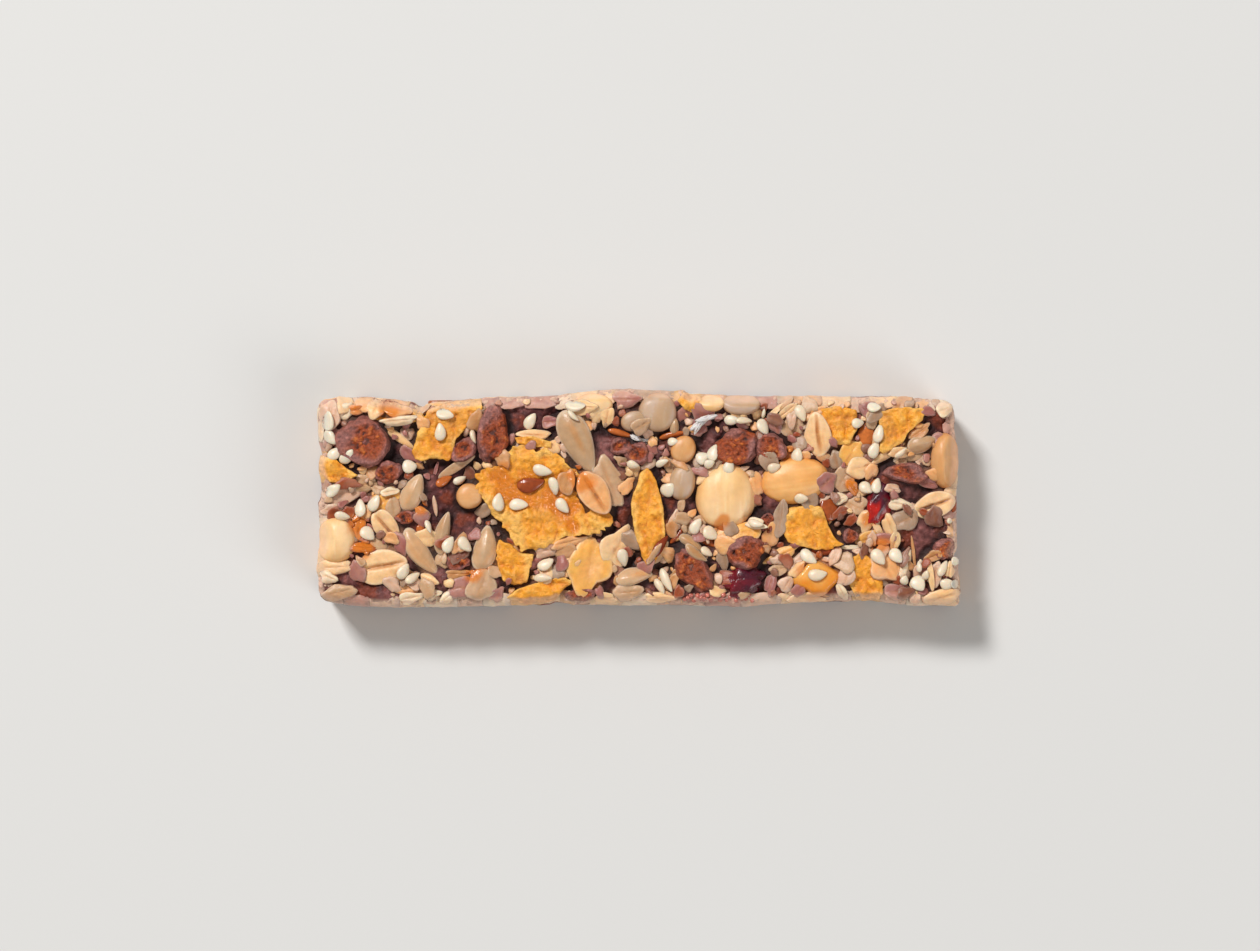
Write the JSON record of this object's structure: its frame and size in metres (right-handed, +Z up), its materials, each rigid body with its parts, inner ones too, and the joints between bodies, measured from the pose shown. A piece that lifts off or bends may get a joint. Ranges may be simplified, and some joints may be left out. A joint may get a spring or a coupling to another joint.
{
  "type": "granola bar",
  "caption": "Pressed bar of oats, seeds, corn flakes, nuts and dried fruit in a dark binder, lying flat",
  "frame": {"origin": "middle of the bar's base, on the surface that it lies on", "axes": "+X along the length, +Y across the width towards the back edge, +Z up"},
  "size_m": [0.1103, 0.0376, 0.0137],
  "materials": {
    "binder_oats_and_seeds": "sticky sugar and fruit binder with rolled oats, sesame, flax and sunflower kernels pressed into it, satin with glossy syrup spots",
    "corn_flake": "crisp, blistered golden sheet, satin",
    "blanched_nut": "smooth skinned nut, soft satin",
    "fruit_crisp": "porous rust-brown crisp with a sugary rim",
    "red_berry": "dried berry flesh, translucent and glossy",
    "dried_apricot": "dried apricot, translucent orange under a film of syrup"
  },
  "bodies": {
    "root": {"bar": "binder_oats_and_seeds", "corn_flake_large": "corn_flake", "corn_flake_back": "corn_flake", "corn_flake_upright": "corn_flake", "corn_flake_right": "corn_flake", "corn_flake_corner": "corn_flake", "whole_nut_middle": "blanched_nut", "whole_nut_right": "blanched_nut", "cut_nut_right": "blanched_nut", "cut_nut_left": "blanched_nut", "fruit_crisp_left": "fruit_crisp", "fruit_crisp_back": "fruit_crisp", "fruit_crisp_front": "fruit_crisp", "fruit_crisp_front_right": "fruit_crisp", "fruit_crisp_back_right": "fruit_crisp", "dark_berry": "red_berry", "red_berry": "red_berry", "apricot_piece": "dried_apricot"}
  },
  "joints": []
}
